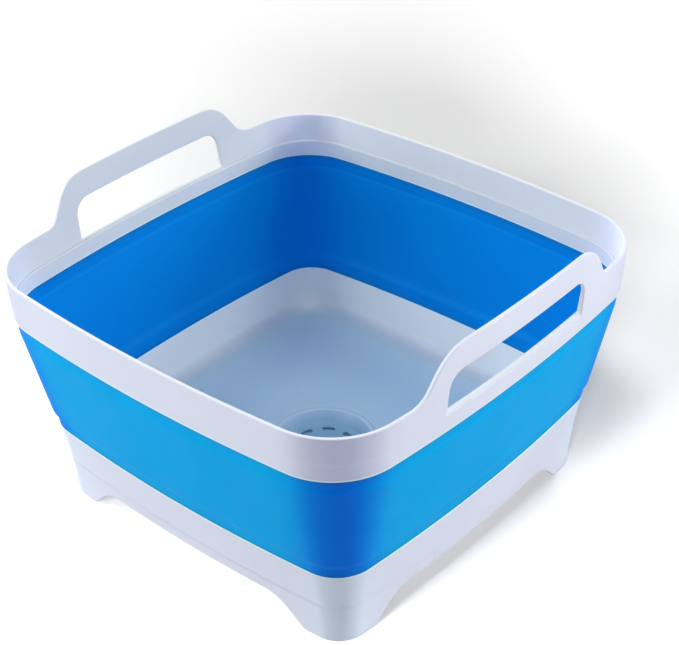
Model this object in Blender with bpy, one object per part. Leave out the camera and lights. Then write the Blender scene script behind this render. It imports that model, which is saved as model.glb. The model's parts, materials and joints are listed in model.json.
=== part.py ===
"""Collapsible camp washbasin.

A square basin with rounded corners. A stiff rim with two integral carry handles and a stiff base
tray on four feet are joined by a soft wall that folds down between them. The tray has a drain: a
strainer cup set into the floor, and a plug that is pulled out from below.
Metres, +Z up. The origin is under the middle of the basin, on the ground.
"""

import math

import bmesh
import bpy

# Plan outline, shared by every level of the basin
HALF_WIDTH = 0.155  # centre to the middle of a side, along the rim's top
CORNER_RADIUS = 0.0475  # corner of that outline
SIDE_RADIUS = 1.155  # the sides bow out gently
CORNER_STEPS = 8
SIDE_STEPS = 6

# Gaps, overruns and edge sizes
CLEARANCE = 0.0003  # between two pieces that touch
OVERRUN = 0.004  # how far a cutter runs past what it cuts
EDGE_CHAMFER = 0.0006

# Base tray
BASE_HEIGHT = 0.057  # ground to the bottom of the soft wall
FOOT_HEIGHT = 0.0195  # ground to the lower edge of the skirt
FLOOR_HEIGHT = 0.0265  # ground to the inside of the floor
FLOOR_THICKNESS = 0.0022
BASE_WALL = 0.0027
BASE_TAPER = 0.0066  # how far the skirt leans in from its top to its lower edge
FOOT_TAPER = 0.001
FLOOR_FILLET = 0.012
FLOOR_FILLET_SHARE = 0.8  # most of the room in a corner that the fillet may take
SKIRT_LINE_HEIGHT = 0.029  # a small step runs round the skirt
SKIRT_LINE_DEPTH = 0.0004
FOOT_TOP_HALF = 0.0715  # half the arch between two feet, at the skirt's edge
FOOT_SOLE_HALF = 0.0935  # and at the ground
FOOT_TOP_RADIUS = 0.012
FOOT_SOLE_RADIUS = 0.006

# Soft wall
WALL_HEIGHT = 0.0845
WALL_TAPER = 0.0187  # how far the wall leans in from the rim to the base
PANEL_THICKNESS = 0.0022
LOWER_COLLAR_HEIGHT = 0.009
LOWER_COLLAR_DRAFT = 0.001
SHOULDER_WIDTH = 0.0027
SHOULDER_RISE = 0.0035
UPPER_COLLAR_HEIGHT = 0.0079
UPPER_COLLAR_DRAFT = 0.0017
HINGE_GROOVE = 0.0007
FOLD_RADIUS = 0.005

# Rim and handles
RIM_HEIGHT = 0.0306
RIM_DRAFT = 0.0023
RIM_WALL = 0.0025
RIM_FOOT_WALL = 0.0037  # the rim's wall thickens down to its band
BAND_HEIGHT = 0.012  # the thicker band at the foot of the rim, which holds the soft wall
BAND_THICKNESS = 0.0041
BAND_DRAFT = 0.0002
RIM_LINE_DEPTH = 0.0004
HANDLE_RISE = 0.0275
HANDLE_LEAN = 0.0016  # the handles lean outward by this at their tops
HANDLE_TOP_HALF = 0.0686
HANDLE_FOOT_HALF = 0.0873
HANDLE_SHOULDER_RADIUS = 0.026
HANDLE_FOOT_RADIUS = 0.014
HANDLE_SHIFT = 0.0026  # the handle at +X stands this much further towards +Y than the other
GRIP_HEIGHT = 0.0187  # top bar of the handle
SLOT_HALF = 0.0652
SLOT_MIDDLE = 0.0006
SLOT_LEAN = 0.0013
SLOT_CORNER_RADIUS = 0.011
SLOT_LIP = 0.0007

# Tongues of the stiff frames, which the soft wall is moulded round
TONGUE_LENGTH = 0.003
RIM_TONGUE = 0.001
BASE_TONGUE = 0.0009

# Drain
BORE_RADIUS = 0.0273  # the plug goes in here
BORE_LENGTH = 0.0051
COLLAR_WALL = 0.003
FLANGE_RADIUS = 0.0352  # outer edge of the strainer
FLANGE_THICKNESS = 0.0013
CUP_MOUTH_RADIUS = 0.0324
CUP_FLOOR_RADIUS = 0.027
CUP_DEPTH = 0.0065
STRAINER_WALL = 0.0018
STRAINER_SLOTS = 8
STRAINER_SLOT_RADIUS = 0.020  # centre line of the slots
STRAINER_SLOT_LENGTH = 0.0088
STRAINER_SLOT_WIDTH = 0.0039
STRAINER_TURN = math.radians(32)
ROUND_STEPS = 48

# Plug and its seal
PLUG_CLEARANCE = 0.0005  # plug to bore
PLUG_TOP = 0.002
PLUG_SIDE = 0.0043
PLUG_GAP = 0.0006  # plug to the underside of the strainer
PLUG_FLANGE = 0.0017
SEAL_HEIGHT = 0.0012
SEAL_WIDTH = 0.0015
SEAL_DROP = 0.0017  # top of the plug to the top of the seal
GRIP_BAR_DROP = 0.0025  # how far the grip bar stands out below the plug's flange
GRIP_BAR_THICKNESS = 0.005
GRIP_BAR_SLOPE = 0.006

# Levels and insets that follow from them
RIM_BOTTOM = BASE_HEIGHT + WALL_HEIGHT
RIM_TOP = RIM_BOTTOM + RIM_HEIGHT
LEDGE = RIM_BOTTOM + BAND_HEIGHT
HANDLE_TOP = RIM_TOP + HANDLE_RISE
BASE_INSET = RIM_DRAFT + WALL_TAPER
CUP_FLOOR = FLOOR_HEIGHT - CUP_DEPTH
CUP_BOTTOM = CUP_FLOOR - STRAINER_WALL
COLLAR_BOTTOM = CUP_BOTTOM - CLEARANCE - BORE_LENGTH
PLUG_TOP_LEVEL = CUP_BOTTOM - PLUG_GAP
PLUG_RADIUS = BORE_RADIUS - PLUG_CLEARANCE
COLLAR_RADIUS = BORE_RADIUS + COLLAR_WALL


def clear_scene():
    for thing in list(bpy.data.objects):
        bpy.data.objects.remove(thing, do_unlink=True)


def plastic(name, colour, roughness):
    material = bpy.data.materials.new(name)
    material.use_nodes = True
    shader = material.node_tree.nodes["Principled BSDF"]
    shader.inputs["Base Color"].default_value = (*colour, 1)
    shader.inputs["Roughness"].default_value = roughness
    shader.inputs["Metallic"].default_value = 0
    return material


def new_object(name, work, material, parent):
    """An object of that name from a bmesh, shaded smooth but for its sharp edges."""
    bmesh.ops.recalc_face_normals(work, faces=work.faces)
    mesh = bpy.data.meshes.new(name)
    work.to_mesh(mesh)
    work.free()
    mesh.materials.append(material)
    mesh.shade_smooth()
    mesh.set_sharp_from_angle(angle=math.radians(30))
    made = bpy.data.objects.new(name, mesh)
    made.parent = parent
    bpy.context.scene.collection.objects.link(made)
    return made


def assembly(name):
    """An empty on the vertical axis that everything slides along."""
    empty = bpy.data.objects.new(name, None)
    bpy.context.scene.collection.objects.link(empty)
    return empty


def cutter(name, work):
    made = new_object(name, work, None, None)
    made.hide_render = True
    made.display_type = "WIRE"
    return made


def boolean(target, tool, operation):
    change = target.modifiers.new(tool.name, "BOOLEAN")
    change.operation = operation
    change.object = tool
    change.solver = "EXACT"


def rounded(points):
    """The points as a line, with an arc at each that gives a radius: (a, b) or (a, b, radius, steps)."""
    line = []
    for index, point in enumerate(points):
        if len(point) == 2:
            line.append(point)
            continue
        a, b, radius, steps = point
        before = points[index - 1]
        after = points[(index + 1) % len(points)]
        line.extend(corner_arc(before, (a, b), after, radius, steps))
    return line


def corner_arc(before, corner, after, radius, steps):
    """Points of the arc of that radius that is tangent to both sides of a corner."""
    inward = (before[0] - corner[0], before[1] - corner[1])
    outward = (after[0] - corner[0], after[1] - corner[1])
    length_in = math.hypot(*inward)
    length_out = math.hypot(*outward)
    u = (inward[0] / length_in, inward[1] / length_in)
    v = (outward[0] / length_out, outward[1] / length_out)
    half = math.acos(u[0] * v[0] + u[1] * v[1]) / 2
    radius = min(radius, min(length_in, length_out) * math.tan(half))
    middle = (u[0] + v[0], u[1] + v[1])
    reach = radius / math.sin(half) / math.hypot(*middle)
    centre = (corner[0] + middle[0] * reach, corner[1] + middle[1] * reach)
    run = radius / math.tan(half)
    start = (corner[0] + u[0] * run, corner[1] + u[1] * run)
    end = (corner[0] + v[0] * run, corner[1] + v[1] * run)
    first = math.atan2(start[1] - centre[1], start[0] - centre[0])
    last = math.atan2(end[1] - centre[1], end[0] - centre[0])
    turn = (last - first + math.pi) % (2 * math.pi) - math.pi
    angles = [first + turn * step / steps for step in range(steps + 1)]
    return [(centre[0] + radius * math.cos(t), centre[1] + radius * math.sin(t)) for t in angles]


def stations():
    """Centre, angle and radius of each point of the plan outline, anticlockwise from the +X side."""
    far = HALF_WIDTH - SIDE_RADIUS
    reach = SIDE_RADIUS - CORNER_RADIUS
    near = (far + math.sqrt(2 * reach**2 - far**2)) / 2
    swing = math.atan2(near, near - far)
    found = []
    for quarter in range(4):
        turn = quarter * math.pi / 2
        side_centre = (far * math.cos(turn), far * math.sin(turn))
        corner_angle = turn + math.pi / 4
        corner_centre = (
            near * math.sqrt(2) * math.cos(corner_angle),
            near * math.sqrt(2) * math.sin(corner_angle),
        )
        for step in range(SIDE_STEPS):
            angle = turn + swing * (2 * step / SIDE_STEPS - 1)
            found.append((side_centre, angle, SIDE_RADIUS))
        for step in range(CORNER_STEPS):
            share = step / CORNER_STEPS
            angle = turn + swing + (math.pi / 2 - 2 * swing) * share
            found.append((corner_centre, angle, CORNER_RADIUS))
    return found


STATIONS = stations()


def outline_ring(inset, level):
    """The plan outline moved in by inset, at that height."""
    return [
        (
            centre[0] + (radius - inset) * math.cos(angle),
            centre[1] + (radius - inset) * math.sin(angle),
            level,
        )
        for centre, angle, radius in STATIONS
    ]


def circle_ring(radius, level):
    """A circle with as many points as the outline, so that the two can be bridged."""
    start = STATIONS[0][1]
    step = 2 * math.pi / len(STATIONS)
    angles = [start + step * index for index in range(len(STATIONS))]
    return [(radius * math.cos(t), radius * math.sin(t), level) for t in angles]


def skinned(rings):
    """A closed tube of faces through the rings, and from the last back to the first."""
    work = bmesh.new()
    loops = [[work.verts.new(point) for point in ring] for ring in rings]
    for index, loop in enumerate(loops):
        after = loops[(index + 1) % len(loops)]
        for place in range(len(loop)):
            beside = (place + 1) % len(loop)
            work.faces.new((loop[place], loop[beside], after[beside], after[place]))
    return work


def prism(shape, low, high, along, shift=0):
    """A closed prism of a flat outline. It runs along X, Y or Z, from low to high.

    The outline's first axis is moved by shift over the prism's length.
    """
    place = {
        "X": lambda a, b, c: (c, a, b),
        "Y": lambda a, b, c: (a, c, b),
        "Z": lambda a, b, c: (a, b, c),
    }[along]
    work = bmesh.new()
    near = [work.verts.new(place(a, b, low)) for a, b in shape]
    far = [work.verts.new(place(a + shift, b, high)) for a, b in shape]
    work.faces.new(near)
    work.faces.new(far)
    for index in range(len(shape)):
        after = (index + 1) % len(shape)
        work.faces.new((near[index], near[after], far[after], far[index]))
    return work


def turned(name, profile, material, parent):
    """A round piece from its profile of radius and height, down its outer side."""
    work = bmesh.new()
    line = [work.verts.new((radius, 0, level)) for radius, level in profile]
    for index in range(len(line) - 1):
        work.edges.new((line[index], line[index + 1]))
    if profile[0][0] > 0:
        work.edges.new((line[-1], line[0]))
    mesh = bpy.data.meshes.new(name)
    work.to_mesh(mesh)
    work.free()
    mesh.materials.append(material)
    made = bpy.data.objects.new(name, mesh)
    made.parent = parent
    bpy.context.scene.collection.objects.link(made)
    screw = made.modifiers.new("turn", "SCREW")
    screw.steps = ROUND_STEPS
    screw.render_steps = ROUND_STEPS
    screw.use_merge_vertices = True
    screw.merge_threshold = CLEARANCE / 10
    screw.use_smooth_shade = True
    return made


def skirt_inset(level):
    """Outer face of the base tray above its lower edge."""
    return BASE_INSET + BASE_TAPER * (BASE_HEIGHT - level) / (BASE_HEIGHT - FOOT_HEIGHT)


def rim_inset(level):
    """Outer face of the rim."""
    return RIM_DRAFT * (RIM_TOP - level) / RIM_HEIGHT


def tongue(middle, thickness, root, tip):
    """The four corners of a tongue, from the outer side of its root."""
    return [
        (middle - thickness / 2, root),
        (middle - thickness / 2, tip),
        (middle + thickness / 2, tip),
        (middle + thickness / 2, root),
    ]


def base_tray(material, parent):
    line = SKIRT_LINE_HEIGHT
    edge = skirt_inset(FOOT_HEIGHT)
    sole = edge + FOOT_TAPER
    under = FLOOR_HEIGHT - FLOOR_THICKNESS
    outside = [
        (BASE_INSET, BASE_HEIGHT),
        (skirt_inset(line), line),
        (skirt_inset(line) - SKIRT_LINE_DEPTH, line - SKIRT_LINE_DEPTH),
        (edge, FOOT_HEIGHT),
        (sole, 0),
        (sole + BASE_WALL, 0),
        (edge + BASE_WALL, FOOT_HEIGHT),
        (skirt_inset(under) + BASE_WALL, under),
    ]
    cup_side = STRAINER_WALL + CLEARANCE
    seat = FLANGE_THICKNESS + CLEARANCE
    drain = [
        (FLANGE_RADIUS + CLEARANCE + COLLAR_WALL, under),
        (COLLAR_RADIUS, CUP_BOTTOM - CLEARANCE),
        (COLLAR_RADIUS, COLLAR_BOTTOM),
        (BORE_RADIUS, COLLAR_BOTTOM),
        (BORE_RADIUS, CUP_BOTTOM - CLEARANCE),
        (CUP_FLOOR_RADIUS + cup_side, CUP_BOTTOM - CLEARANCE),
        (CUP_MOUTH_RADIUS + cup_side, FLOOR_HEIGHT - seat),
        (FLANGE_RADIUS + CLEARANCE, FLOOR_HEIGHT - seat),
        (FLANGE_RADIUS + CLEARANCE, FLOOR_HEIGHT),
    ]
    foot_of_wall = skirt_inset(FLOOR_HEIGHT) + BASE_WALL
    room = (CORNER_RADIUS - foot_of_wall) * FLOOR_FILLET_SHARE
    corner = corner_arc(
        (foot_of_wall + room, FLOOR_HEIGHT),
        (foot_of_wall, FLOOR_HEIGHT),
        (BASE_INSET + BASE_WALL, BASE_HEIGHT),
        FLOOR_FILLET,
        6,
    )
    middle = BASE_INSET + BASE_WALL / 2
    top = tongue(middle, BASE_TONGUE, BASE_HEIGHT, BASE_HEIGHT + TONGUE_LENGTH)
    inside = corner + [(BASE_INSET + BASE_WALL, BASE_HEIGHT)] + top[::-1]
    rings = [outline_ring(*point) for point in outside]
    rings += [circle_ring(*point) for point in drain]
    rings += [outline_ring(*point) for point in inside]
    tray = new_object("base_tray", skinned(rings), material, parent)
    reach = HALF_WIDTH + OVERRUN
    inner = HALF_WIDTH - sole - BASE_WALL - CORNER_RADIUS
    arch = rounded(
        [
            (-FOOT_SOLE_HALF - OVERRUN, -OVERRUN),
            (-FOOT_SOLE_HALF - OVERRUN, 0),
            (-FOOT_SOLE_HALF, 0, FOOT_SOLE_RADIUS, 3),
            (-FOOT_TOP_HALF, FOOT_HEIGHT, FOOT_TOP_RADIUS, 4),
            (FOOT_TOP_HALF, FOOT_HEIGHT, FOOT_TOP_RADIUS, 4),
            (FOOT_SOLE_HALF, 0, FOOT_SOLE_RADIUS, 3),
            (FOOT_SOLE_HALF + OVERRUN, 0),
            (FOOT_SOLE_HALF + OVERRUN, -OVERRUN),
        ]
    )
    for along in "XY":
        for side, low, high in (("low", -reach, -inner), ("high", inner, reach)):
            work = prism(arch, low, high, along)
            boolean(tray, cutter(f"arch_{along}_{side}_cutter", work), "DIFFERENCE")
    return tray


def soft_wall(material, parent):
    top = RIM_BOTTOM - CLEARANCE
    bottom = BASE_HEIGHT + CLEARANCE
    fold_top = (RIM_DRAFT + UPPER_COLLAR_DRAFT, RIM_BOTTOM - UPPER_COLLAR_HEIGHT)
    collar_inset = BASE_INSET - LOWER_COLLAR_DRAFT
    collar_top = BASE_HEIGHT + LOWER_COLLAR_HEIGHT
    fold_bottom = (collar_inset - SHOULDER_WIDTH, collar_top + SHOULDER_RISE)
    rim_groove = tongue(
        RIM_DRAFT + BAND_THICKNESS / 2,
        RIM_TONGUE + 2 * CLEARANCE,
        top,
        RIM_BOTTOM - TONGUE_LENGTH - CLEARANCE,
    )
    base_groove = tongue(
        BASE_INSET + BASE_WALL / 2,
        BASE_TONGUE + 2 * CLEARANCE,
        bottom,
        BASE_HEIGHT + TONGUE_LENGTH + CLEARANCE,
    )
    profile = rounded(
        [
            (RIM_DRAFT, top),
            (fold_top[0] - HINGE_GROOVE, fold_top[1] + 2 * HINGE_GROOVE),
            (fold_top[0] + HINGE_GROOVE, fold_top[1] + HINGE_GROOVE),
            fold_top,
            (*fold_bottom, FOLD_RADIUS, 3),
            (collar_inset, collar_top, FOLD_RADIUS, 3),
            (BASE_INSET, bottom),
            *base_groove,
            (BASE_INSET + BASE_WALL, bottom),
            (collar_inset + BASE_WALL, collar_top, FOLD_RADIUS, 3),
            (fold_bottom[0] + PANEL_THICKNESS, fold_bottom[1], FOLD_RADIUS, 3),
            (fold_top[0] + PANEL_THICKNESS, fold_top[1]),
            (RIM_DRAFT + BAND_THICKNESS, top),
            *rim_groove[::-1],
        ]
    )
    rings = [outline_ring(*point) for point in profile]
    return new_object("soft_wall", skinned(rings), material, parent)


def handle_line():
    """Top edge of the rim seen from the side, with the handle standing on it."""
    half = [
        (HANDLE_FOOT_HALF, RIM_TOP, HANDLE_FOOT_RADIUS, 5),
        (HANDLE_TOP_HALF, HANDLE_TOP, HANDLE_SHOULDER_RADIUS, 6),
    ]
    mirrored = [(-a, b, radius, steps) for a, b, radius, steps in half[::-1]]
    return half + mirrored


def rim_frame(material, parent):
    over = HANDLE_TOP + OVERRUN
    lean = HANDLE_LEAN * (over - RIM_TOP) / HANDLE_RISE
    step = rim_inset(LEDGE)
    band = RIM_DRAFT + BAND_THICKNESS
    middle = RIM_DRAFT + BAND_THICKNESS / 2
    profile = [
        (-lean, over),
        (0, RIM_TOP),
        (step, LEDGE),
        (step + RIM_LINE_DEPTH, LEDGE - RIM_LINE_DEPTH),
        (RIM_DRAFT, RIM_BOTTOM),
        *tongue(middle, RIM_TONGUE, RIM_BOTTOM, RIM_BOTTOM - TONGUE_LENGTH),
        (band, RIM_BOTTOM),
        (band + BAND_DRAFT, LEDGE),
        (step + RIM_FOOT_WALL, LEDGE),
        (RIM_WALL, RIM_TOP),
        (RIM_WALL - lean, over),
    ]
    rings = [outline_ring(*point) for point in profile]
    rim = new_object("rim_frame", skinned(rings), material, parent)
    reach = HALF_WIDTH + OVERRUN
    above = rounded(
        [
            (reach, over + OVERRUN),
            (reach, RIM_TOP),
            *handle_line(),
            (-reach, RIM_TOP),
            (-reach, over + OVERRUN),
        ]
    )
    work = prism(above, -reach, reach, "X", HANDLE_SHIFT)
    boolean(rim, cutter("rim_top_cutter", work), "DIFFERENCE")
    sill = LEDGE + SLOT_LIP
    slot_top = HANDLE_TOP - GRIP_HEIGHT
    slot = rounded(
        [
            (SLOT_MIDDLE + SLOT_HALF, sill),
            (SLOT_MIDDLE + SLOT_HALF - SLOT_LEAN, slot_top, SLOT_CORNER_RADIUS, 6),
            (SLOT_MIDDLE + SLOT_LEAN - SLOT_HALF, slot_top, SLOT_CORNER_RADIUS, 6),
            (SLOT_MIDDLE - SLOT_HALF, sill),
        ]
    )
    boolean(rim, cutter("handle_slot_cutter", prism(slot, -reach, reach, "X")), "DIFFERENCE")
    bevel = rim.modifiers.new("edges", "BEVEL")
    bevel.width = EDGE_CHAMFER
    bevel.segments = 1
    bevel.limit_method = "ANGLE"
    bevel.angle_limit = math.radians(60)
    return rim


def strainer_slot(angle):
    """Outline of one slot, bent round the drain's axis, with round ends."""
    half = (STRAINER_SLOT_LENGTH - STRAINER_SLOT_WIDTH) / 2 / STRAINER_SLOT_RADIUS
    steps = 5
    shape = []
    for side, first in ((1, angle - half), (-1, angle + half)):
        radius = STRAINER_SLOT_RADIUS + side * STRAINER_SLOT_WIDTH / 2
        for step in range(steps):
            turn = first + side * 2 * half * step / (steps - 1)
            shape.append((radius * math.cos(turn), radius * math.sin(turn)))
        end = first + side * 2 * half
        centre = (STRAINER_SLOT_RADIUS * math.cos(end), STRAINER_SLOT_RADIUS * math.sin(end))
        for step in range(1, steps):
            turn = end + (0 if side > 0 else math.pi) + math.pi * step / steps
            shape.append(
                (
                    centre[0] + STRAINER_SLOT_WIDTH / 2 * math.cos(turn),
                    centre[1] + STRAINER_SLOT_WIDTH / 2 * math.sin(turn),
                )
            )
    return shape


def drain_strainer(material, parent):
    under = FLOOR_HEIGHT - FLANGE_THICKNESS
    profile = [
        (0, CUP_FLOOR),
        (CUP_FLOOR_RADIUS, CUP_FLOOR),
        (CUP_MOUTH_RADIUS, FLOOR_HEIGHT),
        (FLANGE_RADIUS, FLOOR_HEIGHT),
        (FLANGE_RADIUS, under),
        (CUP_MOUTH_RADIUS + STRAINER_WALL, under),
        (CUP_FLOOR_RADIUS + STRAINER_WALL, CUP_BOTTOM),
        (0, CUP_BOTTOM),
    ]
    strainer = turned("drain_strainer", profile, material, parent)
    for index in range(STRAINER_SLOTS):
        angle = STRAINER_TURN + 2 * math.pi * index / STRAINER_SLOTS
        work = prism(
            strainer_slot(angle), CUP_BOTTOM - OVERRUN, CUP_FLOOR + OVERRUN, "Z"
        )
        boolean(strainer, cutter(f"slot_{index + 1}_cutter", work), "DIFFERENCE")
    return strainer


def drain_plug(material, parent):
    groove_top = PLUG_TOP_LEVEL - SEAL_DROP + CLEARANCE
    groove_bottom = PLUG_TOP_LEVEL - SEAL_DROP - SEAL_HEIGHT - CLEARANCE
    groove = BORE_RADIUS - CLEARANCE - SEAL_WIDTH - CLEARANCE
    flange_top = COLLAR_BOTTOM - CLEARANCE
    flange_bottom = flange_top - PLUG_FLANGE
    hollow = PLUG_RADIUS - PLUG_SIDE
    ceiling = PLUG_TOP_LEVEL - PLUG_TOP
    profile = [
        (0, PLUG_TOP_LEVEL),
        (PLUG_RADIUS, PLUG_TOP_LEVEL),
        (PLUG_RADIUS, groove_top),
        (groove, groove_top),
        (groove, groove_bottom),
        (PLUG_RADIUS, groove_bottom),
        (PLUG_RADIUS, flange_top),
        (COLLAR_RADIUS, flange_top),
        (COLLAR_RADIUS, flange_bottom),
        (hollow, flange_bottom),
        (hollow, ceiling),
        (0, ceiling),
    ]
    plug = turned("drain_plug", profile, material, parent)
    end = hollow + PLUG_SIDE / 4
    bar_top = ceiling + PLUG_TOP / 2
    bar_bottom = flange_bottom - GRIP_BAR_DROP
    shape = [
        (end, bar_top),
        (-end, bar_top),
        (-end, flange_bottom + PLUG_FLANGE / 2),
        (GRIP_BAR_SLOPE - end, bar_bottom),
        (end - GRIP_BAR_SLOPE, bar_bottom),
        (end, flange_bottom + PLUG_FLANGE / 2),
    ]
    half = GRIP_BAR_THICKNESS / 2
    boolean(plug, cutter("grip_bar", prism(shape, -half, half, "Y")), "UNION")
    return plug


def plug_seal(material, parent):
    outer = BORE_RADIUS - CLEARANCE
    inner = outer - SEAL_WIDTH
    top = PLUG_TOP_LEVEL - SEAL_DROP
    bottom = top - SEAL_HEIGHT
    chamfer = SEAL_HEIGHT / 4
    profile = [
        (inner, top),
        (outer - chamfer, top),
        (outer, top - chamfer),
        (outer, bottom + chamfer),
        (outer - chamfer, bottom),
        (inner, bottom),
    ]
    return turned("plug_seal", profile, material, parent)


def main():
    clear_scene()
    white = plastic("white_plastic", (0.74, 0.75, 0.86), 0.38)
    blue = plastic("blue_soft_plastic", (0.0, 0.34, 0.75), 0.45)
    grey = plastic("seal_rubber", (0.30, 0.34, 0.40), 0.6)
    base = assembly("base_assembly")
    base_tray(white, base)
    drain_strainer(white, base)
    soft_wall(blue, assembly("wall_assembly"))
    rim_frame(white, assembly("rim_assembly"))
    plug = assembly("plug_assembly")
    drain_plug(white, plug)
    plug_seal(grey, plug)


main()
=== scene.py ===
"""Looks of the collapsible camp washbasin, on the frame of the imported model."""

import json
import math
from typing import NamedTuple

import bmesh
import bpy
import numpy as np
from mathutils import Matrix, Vector
from mathutils.geometry import delaunay_2d_cdt

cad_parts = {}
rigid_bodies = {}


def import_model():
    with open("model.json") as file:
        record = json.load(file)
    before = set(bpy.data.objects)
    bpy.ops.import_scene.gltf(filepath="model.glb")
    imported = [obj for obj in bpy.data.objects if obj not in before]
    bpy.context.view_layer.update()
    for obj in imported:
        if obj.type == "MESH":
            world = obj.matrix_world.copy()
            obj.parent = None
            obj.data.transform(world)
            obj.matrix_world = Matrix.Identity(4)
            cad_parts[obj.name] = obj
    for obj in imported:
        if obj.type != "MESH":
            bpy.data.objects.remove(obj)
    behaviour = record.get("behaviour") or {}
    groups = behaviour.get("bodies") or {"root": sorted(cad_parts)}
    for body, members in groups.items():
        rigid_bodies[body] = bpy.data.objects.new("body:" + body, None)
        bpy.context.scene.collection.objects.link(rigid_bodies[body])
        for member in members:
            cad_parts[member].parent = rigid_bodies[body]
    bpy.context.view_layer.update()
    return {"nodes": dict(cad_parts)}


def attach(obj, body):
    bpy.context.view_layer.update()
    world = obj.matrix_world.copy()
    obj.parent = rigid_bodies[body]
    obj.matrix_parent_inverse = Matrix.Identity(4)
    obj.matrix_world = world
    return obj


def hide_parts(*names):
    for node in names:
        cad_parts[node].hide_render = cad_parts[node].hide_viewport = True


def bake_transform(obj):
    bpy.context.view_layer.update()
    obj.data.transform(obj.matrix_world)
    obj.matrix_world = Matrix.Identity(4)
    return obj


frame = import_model()

# Plan outline of the basin, as in the part's source: each side is an arc of radius SIDE, each corner
# an arc of radius CORNER. Lengths s along it start at the middle of the side at +X.
HALF, CORNER, SIDE = 0.155, 0.0475, 1.155
FAR = HALF - SIDE  # centre of a side's arc, along the side's own axis
NEAR = (FAR + math.sqrt(2 * (SIDE - CORNER) ** 2 - FAR**2)) / 2  # centre of a corner's arc, x and y
SWING = math.atan2(NEAR, NEAR - FAR)  # half the angle of a side's arc
SIDE_HALF = SWING * SIDE
QUARTER = 2 * SIDE_HALF + (math.pi / 2 - 2 * SWING) * CORNER
LOOP = 4 * QUARTER

# Heights above the ground
HANDLE_TOP, RIM_TOP, LEDGE, RIM_BOTTOM = 0.1996, 0.1721, 0.1535, 0.1415
BASE_TOP, SKIRT_LINE, SKIRT_EDGE, FLOOR, UNDERSIDE = 0.057, 0.029, 0.0195, 0.0265, 0.0243

# Rim: slopes of its outer face and of the handles, wall at its top and at the ledge, inside of its band
RIM_SLOPE, HANDLE_SLOPE = 0.0752, 0.0582
RIM_WALL, RIM_FOOT_WALL = 0.0025, 0.0038
BAND_INSET = 0.0064

# Base tray: inset of its top, slopes outside and inside, wall, taper of the feet, step in the skirt,
# rounding of the soles, bend between wall and floor
TRAY_INSET, TRAY_SLOPE, TRAY_INNER_SLOPE, TRAY_WALL = 0.021, 0.176, 0.17, 0.0027
FOOT_TAPER, SKIRT_STEP, SOLE_RADIUS, BEND_RADIUS = 0.001, 0.0006, 0.0018, 0.012

# Drain in the tray: the strainer's seat, the bottom of its cup, the plug's bore and the collar round it
SEAT_RADIUS, SEAT_LEVEL = 0.0355, 0.0249
CUP_RADIUS, CUP_LEVEL = 0.0291, 0.0179
BORE_RADIUS, BORE_BOTTOM, COLLAR_RADIUS = 0.0273, 0.0128, 0.0303

# Strainer: top and underside of its sunk disc, inner radius of its flange
DISC_TOP, DISC_UNDER, FLANGE_RADIUS = 0.0200, 0.0182, 0.0320

# Plug: its underside, radius of the two hollows in it, half width of the grip bar between them
PLUG_UNDER, HOLLOW_RADIUS, BAR_HALF = 0.0108, 0.0225, 0.0025

# Handle slots: sill, head, lean of their ends, radii at the sill and at the head
SLOT_SILL, SLOT_HEAD, SLOT_LEAN = 0.1542, 0.1809, 0.0013
SILL_RADIUS, HEAD_RADIUS = 0.0008, 0.011

# Painted highlight lines along the bonds: their height, and half the blur at their edge
HIGHLIGHT_LINE_HEIGHT, LINE_HALF = 0.0012, 0.0001

# Meshes: steps along a side and round a corner for the rim and for the wall and tray, how far one skin
# lies below another, least gap between two columns of points, a number taken as nothing
RIM_STEPS, WALL_STEPS = (40, 30), (36, 30)
SKIN_GAP, COLUMN_GAP, TINY = 0.00002, 0.0004, 1e-6


class End(NamedTuple):
    """One end of a handle: half lengths at its top and foot, radii of its shoulder and foot."""

    top_half: float
    foot_half: float
    shoulder: float
    foot: float


class Handle(NamedTuple):
    """A handle: its middle along the outline, middle and half length of its slot, ends in the sense of s."""

    centre: float
    slot_middle: float
    slot_half: float
    ends: tuple


HANDLE_SPAN = 0.11  # either side of a handle's middle
HANDLES = (
    Handle(
        centre=0,
        slot_middle=0.0007,
        slot_half=0.0655,
        ends=(
            End(top_half=0.0663, foot_half=0.0855, shoulder=0.032, foot=0.014),
            End(top_half=0.0718, foot_half=0.0898, shoulder=0.027, foot=0.007),
        ),
    ),
    Handle(
        centre=2 * QUARTER,
        slot_middle=-0.0005,
        slot_half=0.0650,
        ends=(
            End(top_half=0.0675, foot_half=0.0868, shoulder=0.028, foot=0.018),
            End(top_half=0.0683, foot_half=0.0838, shoulder=0.022, foot=0.009),
        ),
    ),
)


# Lines and rows of points


def rim_inset(z):
    """Outer face of the rim, drawn in below its top, and of the handles, which lean out."""
    return (RIM_TOP - z) * np.where(z < RIM_TOP, RIM_SLOPE, HANDLE_SLOPE)


def rim_wall(z):
    """Thickness of the rim at a height."""
    return RIM_WALL + np.clip((RIM_TOP - z) / (RIM_TOP - LEDGE), 0, 1) * (RIM_FOOT_WALL - RIM_WALL)


def skirt_inset(z):
    """Outer face of the base tray: a draft, a small step, the feet and their rounded soles."""
    draft = TRAY_INSET + TRAY_SLOPE * (BASE_TOP - np.maximum(z, SKIRT_EDGE))
    foot = FOOT_TAPER * np.clip(1 - z / SKIRT_EDGE, 0, 1)
    proud = np.clip(SKIRT_LINE - z, 0, SKIRT_STEP)
    low = np.clip(SOLE_RADIUS - z, 0, SOLE_RADIUS)
    sole = SOLE_RADIUS - np.sqrt(SOLE_RADIUS**2 - low**2)
    return draft + foot - proud + sole


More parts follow.
